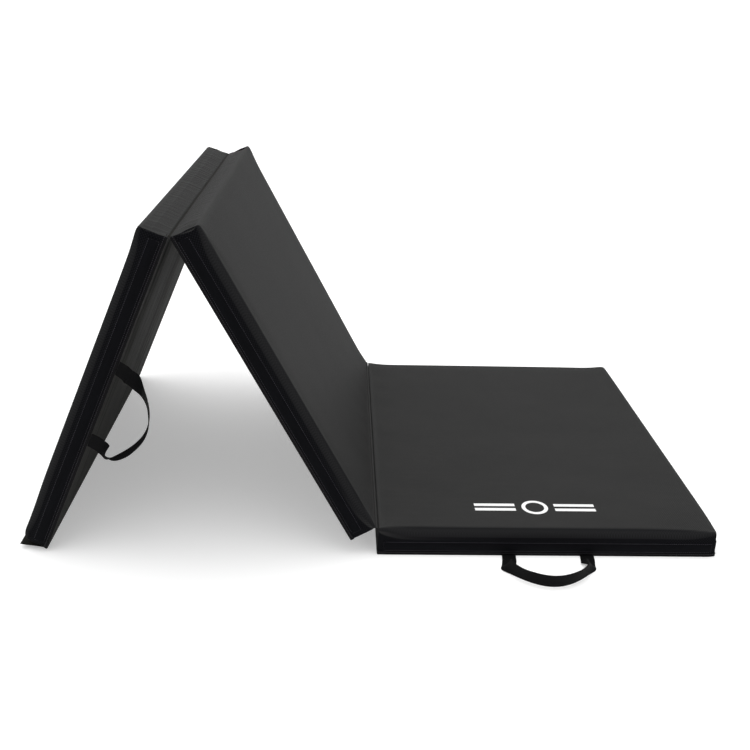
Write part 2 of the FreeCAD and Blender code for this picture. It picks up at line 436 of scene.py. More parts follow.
SPACING = 10 * MM
CORNER_ZONE = 16 * MM
CREASE_Z = tape_high.z + 0.5 * MM       # the wall is upright up to here, and leans in above it
WALL_LEAN = 0.15
FILL_ROOM = 1.8 * MM                    # the tops start this much low, and the cloth fills them out
SEAM_Z = cover_low.z                    # where a cover meets its base sheet
GATHER_PITCH = 34 * MM                  # of the puckers in a wall beside the top fold
GATHER_Z = 34 * MM                      # and how high on the wall they are


def rim_of(xs, ys):
    """The rim of a grid in order, as (i, j), counter-clockwise from the front left."""
    nx, ny = len(xs) - 1, len(ys) - 1
    rim = [(i, 0) for i in range(nx)] + [(nx, j) for j in range(ny)]
    return rim + [(i, ny) for i in range(nx, 0, -1)] + [(0, j) for j in range(ny, 0, -1)]


class PanelShape:
    """Where the vinyl of one panel lies, in the panel's own coordinates."""

    def __init__(self, panel):
        self.panel = panel
        self.xs = lines_between(HALF_L, SPACING)
        self.ys = lines_between(HALF_W, SPACING)
        self.seed = Vector((7.3 * panel, 2.1 * panel, 4.7))

    def end_distance(self, x, end):
        """Distance in from one end of the panel, or far away if end is 0."""
        return HALF_L - end * x if end else 10.0

    def corner_softness(self, end):
        return 0.5 if end == FREE_END[self.panel] else 0.12

    def end_radius(self, end):
        if end == TOP_HINGE[self.panel]:
            return 2.0 * MM
        return {(3, 1): 5.0, (1, -1): 11.0}.get((self.panel, end), 6.0) * MM

    def side_radius(self, x):
        """Rounding of the front and back top edges: full along their length and tight at the corners."""
        return (4 + 10 * (1 - bell(HALF_L - abs(x), 34 * MM))) * MM

    def wall_shade_weight(self, x, y):
        """1 where the rounded edge of the top takes the walls' painted shade, 0 on the top itself."""
        return 1 - ease((HALF_W - abs(y)) / self.side_radius(x), 0.5, 1.0)

    def crease(self, x):
        """Height of the crease on the long walls: it runs up into the corner at a top fold."""
        lift = math.exp(-self.end_distance(x, TOP_HINGE[self.panel]) / (22 * MM))
        return CREASE_Z + (THICK - 5 * MM - CREASE_Z) * lift

    def plan(self, x, y):
        """The grid point moved so that the corners are rounded, and its drop below the top."""
        ex, ey = sign(x), sign(y)
        dx, dy = HALF_L - abs(x), HALF_W - abs(y)
        rx, ry = self.end_radius(ex), self.side_radius(x)
        drop = max(rounding(dx, rx), rounding(dy, ry))
        if dx < CORNER_ZONE and dy < CORNER_ZONE:
            soft = self.corner_softness(ex)
            u, v = 1 - dx / CORNER_ZONE, 1 - dy / CORNER_ZONE
            du, dv = u * math.sqrt(1 - v * v / 2), v * math.sqrt(1 - u * u / 2)
            radial = CORNER_ZONE * (1 - math.hypot(du, dv))
            drop = (1 - soft) * drop + soft * rounding(max(radial, 0.0), max(rx, ry))
            u, v = u + soft * (du - u), v + soft * (dv - v)
            x = ex * (HALF_L - CORNER_ZONE * (1 - u))
            y = ey * (HALF_W - CORNER_ZONE * (1 - v))
        return x, y, drop

    def lean_in(self, z, crease, fold):
        """How far a wall has leant in at a height: more where it is drawn to a top fold's end."""
        lean = WALL_LEAN + 0.3 * math.exp(-fold / (45 * MM))
        return lean * max(0.0, z - crease)

    def end_lean(self, end):
        """Only the end walls at the bottom fold lean in."""
        return 0.5 if end == BOTTOM_HINGE[self.panel] else 0.0

    def top_point(self, x, y):
        """A point of the top face, its rounded edges included."""
        px, py, drop = self.plan(x, y)
        dx, dy = HALF_L - abs(x), HALF_W - abs(y)
        edge_z = THICK - drop
        fold = self.end_distance(x, TOP_HINGE[self.panel])
        side = self.lean_in(edge_z, self.crease(x), fold) * (1 - ease(dy, 0, 60 * MM))
        end = sign(x)
        endwise = self.end_lean(end) * self.lean_in(edge_z, CREASE_Z, 1.0) * (1 - ease(dx, 0, 60 * MM))
        px -= endwise * sign(x)
        py -= side * sign(y)
        return Vector((px, py, edge_z + self.surface(x, y)))

    def surface(self, x, y):
        """Gentle rise and fall of the vinyl over the foam."""
        dx, dy = HALF_L - abs(x), HALF_W - abs(y)
        inside = ease(min(dx, dy), 4 * MM, 60 * MM)
        place = Vector((x * 5, y * 3.2, 0)) + self.seed
        rise = -FILL_ROOM * ease(min(dx, dy), 0, 16 * MM) + 0.45 * MM * inside * noise.noise(place)
        rise += 0.15 * MM * inside * noise.noise(place * 3.1)
        free = bell(self.end_distance(x, FREE_END[self.panel]), 75 * MM) * bell(dy, 45 * MM)
        rise -= (3.0 if y < 0 else 1.0) * MM * free
        fold = self.end_distance(x, TOP_HINGE[self.panel])
        if fold < 0.2:
            pull = math.sin((y * 1.0 + fold * 0.7) * 2 * math.pi / 0.085 + 2 * noise.noise(place * 1.7))
            rise += 0.3 * MM * pull * bell(fold - 25 * MM, 45 * MM) * ease(fold, 2 * MM, 14 * MM)
        return rise

    def outline(self):
        return rim_of(self.xs, self.ys)

    def rim_frame(self, i, j):
        """The wall's foot at a rim point, and the way out from it."""
        nx, ny = len(self.xs) - 1, len(self.ys) - 1
        x, y = self.xs[i], self.ys[j]
        px, py, _ = self.plan(x, y)
        out = Vector((0, 0))
        dx, dy = HALF_L - abs(x), HALF_W - abs(y)
        end = sign(x)
        if end == FREE_END[self.panel] and dx < CORNER_ZONE and dy < CORNER_ZONE:
            centre = Vector(((HALF_L - CORNER_ZONE) * end, (HALF_W - CORNER_ZONE) * sign(y)))
            out = (Vector((px, py)) - centre).normalized()
        else:
            if i in (0, nx):
                out.x = -1 if i == 0 else 1
            if j in (0, ny):
                out.y = -1 if j == 0 else 1
        return Vector((px, py)), out

    def wall_push(self, x, y, z, on_end):
        """How far a wall stands out or in beyond its plain shape."""
        dy = HALF_W - abs(y)
        end = sign(x)
        middle = math.sin(math.pi * min(max(z / THICK, 0), 1))
        place = Vector((x * 9, y * 9, z * 40)) + self.seed
        if on_end:
            push = 0.0
            if end == BOTTOM_HINGE[self.panel]:
                push = 0.9 * MM * middle * ease(dy, 15 * MM, 70 * MM)
                above = math.sin(math.pi * min(max((z - 9 * MM) / (THICK - 9 * MM), 0), 1))
                push -= (5.5 if self.panel == 2 else 2.5) * MM * above * bell(dy, 26 * MM)
                wander = noise.noise(Vector((y * 11, 4, 4))) + 0.4 * noise.noise(Vector((y * 37, 4, 4)))
                push += (1.25 + 0.8 * wander * (1 if self.panel == 1 else -1)) * MM * bell(z, 6 * MM)
                ripple = 0.5 + 0.5 * ease(y, -0.1, 0.3)
                push += 0.9 * MM * ripple * middle * noise.noise(Vector((y * 75, z * 8, 1.0)) + self.seed)
            elif end == FREE_END[self.panel]:
                push = 0.8 * MM * middle * noise.noise(place) - 1.2 * MM * middle * bell(dy, 20 * MM)
            return push
        push = 0.35 * MM * middle * noise.noise(place)
        push -= 1.4 * MM * middle * bell(self.end_distance(x, BOTTOM_HINGE[self.panel]), 16 * MM)
        fold = self.end_distance(x, TOP_HINGE[self.panel])
        gathers = math.sin(fold * 2 * math.pi / GATHER_PITCH)
        push += 1.1 * MM * bell(z - GATHER_Z, 9 * MM) * gathers * bell(fold, 90 * MM)
        return push


def rounded_rings(top_z, crease):
    """Heights of a wall's rings, from the rim of the top face down to the seam."""
    upper = [top_z + (crease - top_z) * t for t in (0.22, 0.5, 0.8, 1.0)]
    lower = [crease + (HEM_HIGH - crease) * t for t in (0.08, 0.3, 0.6, 0.9, 1.0)]
    return upper + lower + [HEM_HIGH * 0.5, SEAM_Z]


def padded_cover(shape):
    """Top face, four walls and the hidden floor of a cover, as one closed form."""
    xs, ys = shape.xs, shape.ys
    points, faces, uvs, wear, side, ripple = [], [], [], [], [], []
    index = {}
    for i, x in enumerate(xs):
        for j, y in enumerate(ys):
            index[i, j] = len(points)
            points.append(shape.top_point(x, y))
            near = min(HALF_L - abs(x), HALF_W - abs(y))
            # Near the top's edges the wear value rises: edge wear, and a painted highlight along the edges.
            wear.append(bell(near - 3 * MM, 5 * MM))
            # The side value is where the walls' painted shade goes; on the top it reaches over the rounded
            # edges.
            side.append(shape.wall_shade_weight(x, y))
            ripple.append(0.0)
    lay_squares(index, xs, ys, faces, uvs, upward=True)
    rim = shape.outline()
    rings = [[index[c] for c in rim]]
    heights = [[points[k].z for k in rings[0]]]
    for ring in range(len(rounded_rings(THICK, CREASE_Z))):
        row, tall = [], []
        for i, j in rim:
            foot, out = shape.rim_frame(i, j)
            x, y = xs[i], ys[j]
            on_end = abs(out.x) > abs(out.y)
            crease = CREASE_Z if on_end else shape.crease(x)
            z = rounded_rings(points[index[i, j]].z, crease)[ring]
            if on_end:
                inset = shape.end_lean(sign(x)) * shape.lean_in(z, crease, 1.0)
            else:
                inset = shape.lean_in(z, crease, shape.end_distance(x, TOP_HINGE[shape.panel]))
            away = shape.wall_push(x, y, z, on_end) - inset
            place = foot + out * away
            row.append(len(points))
            tall.append(z)
            points.append(Vector((place.x, place.y, z)))
            wear.append(0.0)
            # A wall takes the painted wall shade in full, except the end walls at a bottom fold, which face
            # up once folded and keep the top's colour, and the upper wall near a top fold, which tilts
            # towards the light and takes less.
            bottom_fold = on_end and sign(x) == BOTTOM_HINGE[shape.panel]
            drawn = 0.0
            if z > crease and not on_end:
                drawn = 0.75 * math.exp(-shape.end_distance(x, TOP_HINGE[shape.panel]) / (45 * MM))
            side.append(0.0 if bottom_fold else 1.0 - drawn)
            gathered = 0.35 + 0.65 * ease(y, -0.25, 0.3) if shape.panel == 1 else 0.4
            ripple.append(gathered if bottom_fold else 0.0)
        rings.append(row)
        heights.append(tall)
    run = distances_round(points, rings[0])
    count = len(rim)
    for upper, lower, high, low in zip(rings, rings[1:], heights, heights[1:]):
        for k in range(count):
            m = (k + 1) % count
            faces.append([upper[k], lower[k], lower[m], upper[m]])
            uvs += [(run[k], high[k]), (run[k], low[k]), (run[k + 1], low[m]), (run[k + 1], high[m])]
    seam = {c: rings[-1][k] for k, c in enumerate(rim)}
    for i, x in enumerate(xs):
        for j, y in enumerate(ys):
            if (i, j) not in seam:
                seam[i, j] = len(points)
                px, py, _ = shape.plan(x, y)
                points.append(Vector((px, py, SEAM_Z + underside(shape, x, y))))
                wear.append(0.0)
                side.append(1.0)
                ripple.append(0.0)
    lay_squares(seam, xs, ys, faces, uvs)
    cover = make_mesh(f"cover_{shape.panel}", points, faces, [COVER], uvs, wear=wear, side=side,
                      ripple=ripple)
    swell(cover)
    cover.data.transform(REST[shape.panel])
    subdivide(cover)
    return cover


def swell(cover, most=1.2 * MM, frames=12):
    """Cloth under a little air pressure, held at its seams and creases, fills the cover out over its foam."""
    scene = bpy.context.scene
    rest = [v.co.copy() for v in cover.data.vertices]
    held = cover.vertex_groups.new(name="held")
    held.add([k for k, place in enumerate(rest) if place.z < CREASE_Z + 1 * MM], 1.0, "REPLACE")
    cloth = cover.modifiers.new("cloth", "CLOTH")
    settings = cloth.settings
    settings.vertex_group_mass = "held"
    settings.quality = 4
    settings.mass = 0.3
    settings.tension_stiffness = settings.compression_stiffness = 40
    settings.shear_stiffness = 15
    settings.bending_stiffness = 2
    settings.use_pressure = True
    settings.uniform_pressure_force = 3.0
    settings.effector_weights.gravity = 0
    cloth.collision_settings.use_collision = False
    cloth.point_cache.frame_start, cloth.point_cache.frame_end = 1, frames
    for frame_number in range(1, frames + 1):
        scene.frame_set(frame_number)
    filled = cover.evaluated_get(bpy.context.evaluated_depsgraph_get()).data
    moved = [v.co.copy() for v in filled.vertices]
    cover.modifiers.remove(cloth)
    cover.vertex_groups.clear()
    scene.frame_set(1)
    for vertex, before, after in zip(cover.data.vertices, rest, moved):
        step = after - before
        vertex.co = before + step * min(1.0, most / max(step.length, 1e-9))
    cover.data.update()


def foam_slab(shape):
    """The foam inside: the cover's form, drawn in by a few millimetres."""
    inset = 3 * MM
    xs, ys = lines_between(HALF_L, 60 * MM), lines_between(HALF_W, 60 * MM)
    shrink_x, shrink_y = (HALF_L - 2 * inset) / HALF_L, (HALF_W - 2 * inset) / HALF_W
    points, faces, index = [], [], {}
    for level, z in enumerate((2 * inset, THICK - inset)):
        for i, x in enumerate(xs):
            for j, y in enumerate(ys):
                px, py, drop = shape.plan(x, y)
                index[level, i, j] = len(points)
                dip = min(shape.surface(x, y), 0.0) if level else 0.0
                points.append(Vector((px * shrink_x, py * shrink_y, z + dip - (drop if level else 0))))
    for i in range(len(xs) - 1):
        for j in range(len(ys) - 1):
            square = [(i, j), (i + 1, j), (i + 1, j + 1), (i, j + 1)]
            faces.append([index[1, a, b] for a, b in square])
            faces.append([index[0, a, b] for a, b in reversed(square)])
    rim = rim_of(xs, ys)
    for a, b in zip(rim, rim[1:] + rim[:1]):
        faces.append([index[1, *a], index[0, *a], index[0, *b], index[1, *b]])
    slab = make_mesh(f"foam_{shape.panel}", points, faces, [FOAM])
    slab.data.transform(REST[shape.panel])
    return slab


# ---------------------------------------------------------------- base sheets with their hems

def underside(shape, x, y):
    """How far the vinyl underside is drawn up off its plane by wrinkles."""
    if shape.panel == 3:
        return 0.0
    dx, dy = HALF_L - abs(x), HALF_W - abs(y)
    fold = shape.end_distance(x, BOTTOM_HINGE[shape.panel])
    inside = ease(min(dx, dy), 3 * MM, 40 * MM)
    wander = 0.5 * noise.noise(Vector((x * 2.2, y * 4, 1)) + shape.seed)
    folds = noise.noise(Vector((x * 1.6, (y + 0.05 * wander) * 26, 5)) + shape.seed)
    folds = max(0.0, folds + 0.12) ** 1.2
    reach = 0.35 + 0.65 * math.exp(-fold / 0.22)
    return inside * reach * 8.5 * MM * min(folds, 0.6)


def base_sheet(shape):
    """Vinyl underside, turned up round the walls as a hem, except along a fold on the bottom face."""
    xs, ys = shape.xs, shape.ys
    points, faces, uvs, wear, ripple = [], [], [], [], []
    index = {}
    for i, x in enumerate(xs):
        for j, y in enumerate(ys):
            px, py, _ = shape.plan(x, y)
            index[i, j] = len(points)
            points.append(Vector((px, py, underside(shape, x, y) + 0.1 * MM)))
            wear.append(0.0)
            fold = shape.end_distance(x, BOTTOM_HINGE[shape.panel])
            ripple.append(0.15 + 0.85 * math.exp(-fold / 0.2))
    lay_squares(index, xs, ys, faces, uvs)
    slots = [0] * len(faces)
    rim = shape.outline()
    profile = [(0.75, 0.12), (0.95, 0.9), (0.95, 3.0), (0.95, 5.4), (0.85, 6.6), (0.5, 7.05), (-0.2, 6.9)]
    rings = [[index[c] for c in rim]]
    nx = len(xs) - 1
    for level, (out_mm, z_mm) in enumerate(profile):
        row = []
        for i, j in rim:
            foot, out = shape.rim_frame(i, j)
            x, y = xs[i], ys[j]
            end = 1 if i == nx else -1 if i == 0 else None
            at_fold = end == BOTTOM_HINGE[shape.panel]
            if at_fold:
                out = Vector((0, out.y)) if j in (0, len(ys) - 1) else Vector((0, 0))
            wave = 0.12 * noise.noise(Vector((x * 30, y * 30, 8)) + shape.seed) if 0 < level < 6 else 0.0
            inner = at_fold and 0 < j < len(ys) - 1
            z = min(z_mm, 1.0) if inner else z_mm
            place = foot + out * (out_mm + wave) * MM
            row.append(len(points))
            points.append(Vector((place.x, place.y, z * MM)))
            # The hem's upper rings get some of the same edge wear and painted edge highlight.
            wear.append(0.6 if level in (3, 4, 5) else 0.0)
            ripple.append(0.0)
        rings.append(row)
    run = distances_round(points, rings[0])
    count = len(rim)
    lift = [0.0] + [z * MM for _, z in profile]
    for level, (lower, upper) in enumerate(zip(rings, rings[1:])):
        for k in range(count):
            m = (k + 1) % count
            faces.append([lower[k], lower[m], upper[m], upper[k]])
            uvs += [(run[k], lift[level]), (run[k + 1], lift[level]),
                    (run[k + 1], lift[level + 1]), (run[k], lift[level + 1])]
            slots.append(1)
    sheet = make_mesh(f"base_{shape.panel}", points, faces, [UNDER, HEM_VINYL], uvs, slots, wear=wear,
                      ripple=ripple)
    thicken(sheet, 0.6 * MM, offset=-1)
    sheet.data.transform(REST[shape.panel])
    subdivide(sheet)
    return sheet


# ---------------------------------------------------------------- stitching

# A stitch from end to end: the part of its length, its size, and how far it stands out, in thread radii.
BEAD = ((0.0, 0.25, -0.5), (0.22, 1.0, 0.35), (0.5, 1.1, 0.6), (0.78, 1.0, 0.35), (1.0, 0.25, -0.5))


def stitches(name, runs, matrix=None, pitch=3.4 * MM, gap=0.9 * MM, radius=0.32 * MM):
    """Sewing thread along runs. A run is a list of (point, outward normal); each stitch is a small bead."""
    points, faces = [], []
    sides = 5
    for run in runs:
        travelled = [0.0]
        for (a, _), (b, _) in zip(run, run[1:]):
            travelled.append(travelled[-1] + (b - a).length)
        count = int(travelled[-1] / pitch)
        at = 0
        for k in range(count):
            start, stop = k * pitch + gap / 2, (k + 1) * pitch - gap / 2
            while at < len(run) - 2 and travelled[at + 1] < start:
                at += 1
            (a, out_a), (b, out_b) = run[at], run[at + 1]
            span = max(travelled[at + 1] - travelled[at], 1e-9)
            along = (b - a).normalized()
            base = a + along * (start - travelled[at])
            out = (out_a + (out_b - out_a) * ((start - travelled[at]) / span)).normalized()
            side = along.cross(out).normalized()
            first = len(points)
            for t, size, proud in BEAD:
                centre = base + along * (stop - start) * t + out * radius * proud
                for s in range(sides):
                    angle = 2 * math.pi * s / sides
                    points.append(centre + (side * math.cos(angle) + out * math.sin(angle)) * radius * size)
            for ring in range(len(BEAD) - 1):
                for s in range(sides):
                    low = first + ring * sides
                    n = (s + 1) % sides
                    faces.append([low + s, low + n, low + sides + n, low + sides + s])
            faces.append([first + s for s in reversed(range(sides))])
            last = first + (len(BEAD) - 1) * sides
            faces.append([last + s for s in range(sides)])
    thread = make_mesh(name, points, faces, [THREAD])
    if matrix is not None:
        thread.data.transform(matrix)
    return thread


def hem_stitching(shape):
    """The row that closes the hem, everywhere but inside the folds."""
    inset = 5.2 * MM
    rim = shape.outline()
    nx, ny = len(shape.xs) - 1, len(shape.ys) - 1
    runs, run = [], []
    for i, j in rim + rim[:1]:
        foot, out = shape.rim_frame(i, j)
        end = 1 if i == nx else -1 if i == 0 else None
        if end in (BOTTOM_HINGE[shape.panel] or None, TOP_HINGE[shape.panel] or None) and end and 0 < j < ny:
            if len(run) > 1:
                runs.append(run)
            run = []
            continue
        away = out.normalized()
        place = foot + away * (HEM + 0.25 * MM)
        run.append((Vector((place.x, place.y, inset)), Vector((away.x, away.y, 0))))
    if len(run) > 1:
        runs.append(run)
    return stitches(f"hem_thread_{shape.panel}", runs, REST[shape.panel])


# ---------------------------------------------------------------- hook-and-loop tape

def tape_strip(name, length, origin, along, out, material, matrix):
    """A flat tape sewn down along both edges: its middle pile stands proud of its thin selvedges."""
    wide = tape_high.z - tape_low.z
    profile = [(0.0, 0.0), (0.02, 0.75), (0.09, 0.95), (0.13, 1.35), (0.5, 1.6), (0.87, 1.35),
               (0.91, 0.95), (0.98, 0.75), (1.0, 0.0)]
    ends = [0.0, 0.0004, 0.0012, 0.003]
    stations = ends + [s * length / 90 for s in range(1, 90)] + [length - e for e in reversed(ends)]
    points = []
    for s in stations:
        near = min(s, length - s)
        plump = ease(near, 0, 1.2 * MM)
        for t, h in profile:
            wave = 0.12 * noise.noise(Vector((s * 28, t * 2, 3)) + origin * 9)
            sway = 0.3 * MM * noise.noise(Vector((s * 6, 0, 9)) + origin * 7)
            place = origin + along * s + Z * (t * wide + sway) + out * (h * plump * (1 + wave)) * MM
            points.append(place)
    faces, uvs = skin(stations, [t * wide for t, _ in profile], closed=True, flipped=True)
    tape = make_mesh(name, points, faces, [material], uvs)
    tape.data.transform(matrix)
    return tape


def tape_stitching(name, length, origin, along, out, matrix):
    """A row of thread inside each long edge of a tape and across its ends."""
    wide = tape_high.z - tape_low.z
    edge = 1.6 * MM
    lift = out * 1.05 * MM
    far, high = length - edge, wide - edge
    corners = [(edge, edge), (far, edge), (far, high), (edge, high), (edge, edge)]
    run = [(origin + along * s + Z * t + lift, out) for s, t in corners]
    return stitches(name, [[a, b] for a, b in zip(run, run[1:])], matrix)


# ---------------------------------------------------------------- webbing handles

# Both handles are the same strap: two legs out of the seam and a bow between them that stands on edge.
strap_low, strap_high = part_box("handle_strap_3")
STRAP_WIDE = strap_high.z - strap_low.z
STRAP_HALF = (strap_high.x - strap_low.x) / 2
STRAP_REACH = -HALF_W - strap_low.y
LEG_PART = 0.48             # of the reach, before the bow begins
STANDING = math.radians(98)


def strap_outline(lean, reach, root):
    """The strap's outer edge seen flat, as points along the seam and out from it."""
    leg = LEG_PART * reach
    legs = [(STRAP_HALF, root + (leg - root) * k / 3) for k in range(3)]
    bow = [(STRAP_HALF * k / 5, leg + (reach - leg) * math.cos(math.pi / 2 * k / 5)) for k in range(-5, 6)]
    outline = [(-x, y) for x, y in legs] + bow + legs[::-1]
    return [Vector((x + lean * ease(y, 0, 0.6 * reach), y, 0)) for x, y in outline]


def strap_stations(lean, reach, root, lift):
    """Pairs of a point on the lower edge and the direction towards the upper edge.

    The strap leaves the seam flat and turns on edge on its way into the bow.
    """
    outline = strap_outline(lean, reach, root)
    last = len(outline) - 1
    square = {0: Vector((0, 1, 0)), last: Vector((0, -1, 0))}   # sewn along the seam at both ends
    stations = []
    for k, place in enumerate(outline):
        travel = square[k] if k in square else (outline[k + 1] - outline[k - 1]).normalized()
        inward = travel.cross(Vector((0, 0, 1)))
        turn = STANDING * ease(place.y, 0.26 * reach, 0.75 * reach)
        across = inward * math.cos(turn) + Vector((0, 0, math.sin(turn)))
        stations.append((place + Vector((0, 0, lift)), across))
    return stations


def smooth_path(points, steps):
    """A curve through the points."""
    path = []
    last = len(points) - 1
    for k in range(last):
        p0, p1 = points[max(k - 1, 0)], points[k]
        p2, p3 = points[k + 1], points[min(k + 2, last)]
        for s in range(steps):
            t = s / steps
            path.append(0.5 * (2 * p1 + (p2 - p0) * t + (2 * p0 - 5 * p1 + 4 * p2 - p3) * t * t
                               + (3 * p1 - p0 - 3 * p2 + p3) * t ** 3))
    return path + [points[last]]


def handle(name, stations, seam, along, out, rise):
    """A strap of constant width through the stations."""
    lower = [place for place, _ in stations]
    upper = [place + across * STRAP_WIDE for place, across in stations]
    lower, upper = smooth_path(lower, 7), smooth_path(upper, 7)
    columns = 10
    points = []
    run = 0.0
    runs = []
    for k, (a, b) in enumerate(zip(lower, upper)):
        b = a + (b - a).normalized() * STRAP_WIDE
        if k:
            run += ((a + b) / 2 - middle).length
        middle = (a + b) / 2
        runs.append(run)
        for c in range(columns + 1):
            p = a + (b - a) * (c / columns)
            points.append(seam + along * p.x + out * p.y + rise * p.z)
    faces, uvs = skin(runs, [c / columns * STRAP_WIDE for c in range(columns + 1)])
    strap = make_mesh(name, points, faces, [WEBBING], uvs)
    thicken(strap, 1.5 * MM)
    subdivide(strap)
    return strap


# ---------------------------------------------------------------- folds

def hinge_strip(name, right_panel, z_edge, inward, material):
    """The vinyl strip across a fold: a leg down each end wall and a slack bend between them."""
    left_panel = right_panel - 1
    leg = 5 * MM
    thin = 0.7 * MM
    right = [(-HALF_L - 0.05 * MM, z_edge + inward * d) for d in (leg, 0.6 * leg, 1.2 * MM, 0.7 * MM)]
    left = [(HALF_L + 0.05 * MM, z_edge + inward * d) for d in (0.7 * MM, 1.2 * MM, 0.6 * leg, leg)]
    half = HALF_W - 5 * MM
    count = 110
    section = len(right) + len(left) + 1
    points = []
    for k in range(count + 1):
        y = -half + 2 * half * k / count
        sway = 0.35 * MM * noise.noise(Vector((y * 20, 1, right_panel)))
        row = [REST[right_panel] @ Vector((x - thin / 2, y, z + sway * inward)) for x, z in right]
        far = [REST[left_panel] @ Vector((x + thin / 2, y, z + sway * inward)) for x, z in left]
        dip = (row[-1] + far[0]) / 2
        up_right = REST[right_panel].to_3x3() @ Vector((0, 0, inward))
        up_left = REST[left_panel].to_3x3() @ Vector((0, 0, inward))
        row.append(dip + (up_right + up_left).normalized() * 0.3 * MM)
        row += far
        points += row
    rows = [2 * half * k / count for k in range(count + 1)]
    faces, uvs = skin(rows, [b * 2 * MM for b in range(section)], flipped=True)
    strip = make_mesh(name, points, faces, [material], uvs)
    thicken(strip, thin)
    subdivide(strip)
    return strip


# ---------------------------------------------------------------- the end flap

FLAP_DROOP = 3.5 * MM       # of the tip, away from the end wall
FLAP_ROWS = 100


def flap_sheet():
    """Doubled vinyl flap with a rolled seam at its root, from its CAD place."""
    joint = JOINTS["end_flap_swing"]
    root = Vector(joint["pos_m"])
    low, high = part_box("end_flap")
    half = high.y
    opened = -math.radians(joint["range_deg"][0])
    turn = REST[1].to_3x3() @ Matrix.Rotation(-opened, 3, "Y")
    along, outer = turn @ Vector((0, 0, 1)), turn @ Vector((-1, 0, 0))
    radius = root.z
    corners = [Vector((x, 0, z)) - root for x in (low.x, high.x) for z in (low.z, high.z)]
    deep = max(corner.dot(along) for corner in corners) - 0.5 * MM
    return root, along, outer, half, radius, deep


def flap_rows(half, section, root, along, outer, length):
    """Points across the flap's width: its section, with the droop and slow waves of its free edge."""
    points, rows = [], []
    for k in range(FLAP_ROWS + 1):
        y = -half + 2 * half * k / FLAP_ROWS
        rows.append(2 * half * k / FLAP_ROWS)
        for s, t in section:
            reach = ease(s, 6 * MM, length)
            wave = 1.3 * MM * reach * noise.noise(Vector((y * 5, 2, 6)))
            wave += 0.5 * MM * reach * noise.noise(Vector((y * 17, 3, 6)))
            place = root + along * s + outer * (t + wave + FLAP_DROOP * reach)
            points.append(Vector((place.x, y, place.z)))
    return points, rows


def end_flap():
    root, along, outer, half, radius, length = flap_sheet()
    thin = 0.8 * MM
    sheet_out = [(s * length, thin) for s in (0.09, 0.25, 0.5, 0.75, 0.97)]
    tip = [(length, thin * 0.5), (length, -thin * 0.5)]
    sheet_in = [(s * length, -thin) for s in (0.97, 0.75, 0.5, 0.25, 0.09)]
    roll = [(-radius * 0.96 * math.cos(a), -radius * 0.96 * math.sin(a))
            for a in (math.radians(d) for d in (130, 90, 60, 30, 0, -30, -60, -90, -130))]
    section = sheet_out + tip + sheet_in + roll
    points, rows = flap_rows(half, section, root, along, outer, length)
    faces, uvs = skin(rows, [s for s, _ in section], closed=True)
    return make_mesh("flap", points, faces, [UNDER], uvs)


def flap_tape():
    """Hook tape on the flap's outer side."""
    root, along, outer, half, _, length = flap_sheet()
    wide = tape_high.z - tape_low.z
    start, stand = length - 1.5 * wide, 0.8 * MM
    profile = [(0.0, 0.0), (0.03, 0.8), (0.1, 1.0), (0.14, 1.4), (0.5, 1.6), (0.86, 1.4), (0.9, 1.0),
               (0.97, 0.8), (1.0, 0.0)]
    section = [(start + t * wide, stand + h * MM) for t, h in profile]
    points, rows = flap_rows(half - 5 * MM, section, root, along, outer, length)
    faces, uvs = skin(rows, [t * wide for t, _ in profile], closed=True)
    return make_mesh("flap_hook_tape", points, faces, [HOOK], uvs)


# ---------------------------------------------------------------- the printed mark

STRIPE_LONG = 74 * MM
STRIPE_HALF = 4.5 * MM      # half a stripe's width


def printed_mark(cover):
    """A generic mark: a ring between two pairs of stripes, printed on panel 3's top."""
    centre_x, centre_y = -12 * MM, -318 * MM
    lift = 0.1 * MM
    points, faces, uvs = [], [], []
    top = BVHTree.FromObject(cover, bpy.context.evaluated_depsgraph_get())

    def patch(rows):
        first = len(points)
        across = len(rows[0])
        for row in rows:
            for x, y in row:
                place = top.ray_cast(Vector((x, y, 2 * THICK)), Vector((0, 0, -1)))[0]
                points.append(Vector((x, y, place.z + lift)))
        for a in range(len(rows) - 1):
            for b in range(across - 1):
                k = first + a * across + b
                faces.append([k, k + 1, k + across + 1, k + across])
                uvs.extend([(points[q].x, points[q].y) for q in faces[-1]])

    for side in (-1, 1):
        for offset in (-8 * MM, 8 * MM):
            start = centre_x + side * 36 * MM
            patch([[(start + side * STRIPE_LONG * s / 16, centre_y + offset + t * STRIPE_HALF)
                    for s in range(17)][::side] for t in (-1, 0, 1)])
    turns = 72
    angles = [2 * math.pi * k / turns for k in range(turns, -1, -1)]
    patch([[(centre_x + r * MM * math.cos(a), centre_y + r * MM * math.sin(a)) for a in angles]
           for r in (17, 20.5, 24)])
    return make_mesh("printed_mark", points, faces, [INK], uvs, smooth=False)


# ---------------------------------------------------------------- build every piece

SHAPES = {panel: PanelShape(panel) for panel in PANELS}
TAPES = ((-1, "front_loop", LOOP, "loop_tape"), (1, "back_hook", HOOK, "hook_tape"))
FOLDS = ((3, THICK, -1, COVER, "cover_vinyl"), (2, 0.0, 1, UNDER, "base_vinyl"))


def ride_and_replace(piece, body, slot, *nodes):
    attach(piece, body)
    if nodes:
        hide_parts(*nodes)


def sewn_tape(kind, panel, length, origin, along, out, material, slot):
    """A tape on a panel's wall and the thread that holds it."""
    body = f"panel_{panel}"
    tape = tape_strip(f"{kind}_strip_{panel}", length, origin, along, out, material, REST[panel])
    ride_and_replace(tape, body, slot, f"{kind}_tape_{panel}")
    seam = tape_stitching(f"{kind}_thread_{panel}", length, origin, along, out, REST[panel])
    ride_and_replace(seam, body, "thread")


